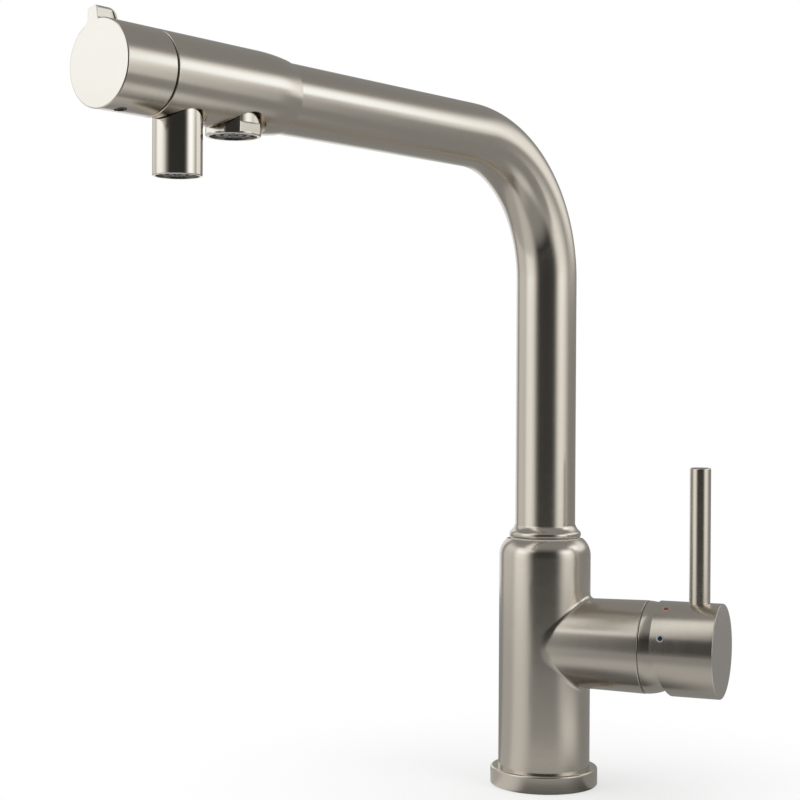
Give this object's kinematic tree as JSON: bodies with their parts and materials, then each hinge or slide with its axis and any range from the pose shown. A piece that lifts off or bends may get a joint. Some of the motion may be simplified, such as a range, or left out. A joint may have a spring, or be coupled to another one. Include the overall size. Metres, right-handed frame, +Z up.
{
  "type": "kitchen mixer tap",
  "caption": "Deck-mounted kitchen mixer tap with swivel L spout, side pin lever with ceramic cartridge, and a separate filtered-water outlet worked by an end knob.",
  "frame": {"origin": "centre of the base flange's underside, on the worktop", "axes": "+Z up along the column, +X along the lever's side branch, -Y towards the user; at rest the spout points 17.45 degrees from -Y, away from the lever"},
  "size_m": [0.1798, 0.2868, 0.3177],
  "materials": {
    "brushed_nickel": "satin brushed nickel plate on brass",
    "polished_nickel": "finer brushed nickel plate, nearly polished",
    "brass": "machined brass",
    "stainless_steel": "turned stainless steel",
    "black_rubber": "black sealing rubber",
    "bearing_plastic": "natural acetal",
    "pipe_plastic": "food-grade pipe plastic",
    "ceramic": "lapped alumina",
    "dark_plastic": "moulded dark plastic",
    "red_enamel": "red enamel",
    "blue_enamel": "blue enamel"
  },
  "bodies": {
    "body": {"base_flange": "brushed_nickel", "base_gasket": "black_rubber", "base_o_ring": "black_rubber", "body_casting": "brushed_nickel", "lower_swivel_bush": "bearing_plastic", "upper_swivel_bush": "bearing_plastic", "spout_stop_screw": "stainless_steel", "filter_feed_pipe": "pipe_plastic", "feed_pipe_o_rings": "black_rubber", "cartridge_base": "bearing_plastic", "cartridge_port_seals": "black_rubber", "fixed_ceramic_disc": "ceramic", "cartridge_housing": "bearing_plastic", "cartridge_nut": "brass", "dome_cover": "brushed_nickel"},
    "spout": {"spout_shank": "brass", "shank_o_rings": "black_rubber", "spout_collar": "brushed_nickel", "spout_tube": "brushed_nickel", "spout_head": "brushed_nickel", "filter_pipe": "pipe_plastic", "main_outlet": "brushed_nickel", "main_aerator": "dark_plastic", "main_aerator_washer": "black_rubber", "filter_outlet": "polished_nickel", "filter_aerator": "dark_plastic", "filter_aerator_washer": "black_rubber", "valve_housing": "brass", "valve_housing_o_ring": "black_rubber", "valve_fixed_disc": "ceramic", "valve_nut": "brass"},
    "filter_control": {"filter_knob": "brushed_nickel", "filter_spindle": "brass", "spindle_o_ring": "black_rubber", "valve_moving_disc": "ceramic", "knob_grub_screw": "stainless_steel", "knob_screw_plug": "dark_plastic"},
    "temperature_turn": {"stem_carrier": "bearing_plastic", "pivot_pin": "stainless_steel"},
    "handle": {"stem_lever": "stainless_steel", "handle_knob": "brushed_nickel", "handle_rod": "polished_nickel", "handle_grub_screw": "stainless_steel", "hot_index": "red_enamel", "cold_index": "blue_enamel"},
    "disc": {"moving_ceramic_disc": "ceramic", "disc_carrier": "bearing_plastic"}
  },
  "joints": [
    {"name": "spout_swivel", "type": "hinge", "parent": "body", "child": "spout", "pos_m": [0, 0, 0.102], "axis": [0, 0, 1], "range_deg": [-52.55, 87.45]},
    {"name": "filter_turn", "type": "hinge", "parent": "spout", "child": "filter_control", "pos_m": [0, 0, 0.2971], "axis": [-0.2999, -0.954, 0], "range_deg": [-10.5, 79.5]},
    {"name": "handle_turn", "type": "hinge", "parent": "body", "child": "temperature_turn", "pos_m": [0.0498, 0, 0.06705], "axis": [1, 0, 0], "range_deg": [-45, 45]},
    {"name": "handle_lift", "type": "hinge", "parent": "temperature_turn", "child": "handle", "pos_m": [0.0498, 0, 0.06705], "axis": [0, 1, 0], "range_deg": [0, 25]},
    {"name": "disc_slide", "type": "slide", "parent": "temperature_turn", "child": "disc", "axis": [0, 0, 1], "range_m": [0, 0.0056]}
  ],
  "couplings": [
    {"joint": "disc_slide", "follows": "handle_lift", "m_per_rad": 0.0124}
  ]
}
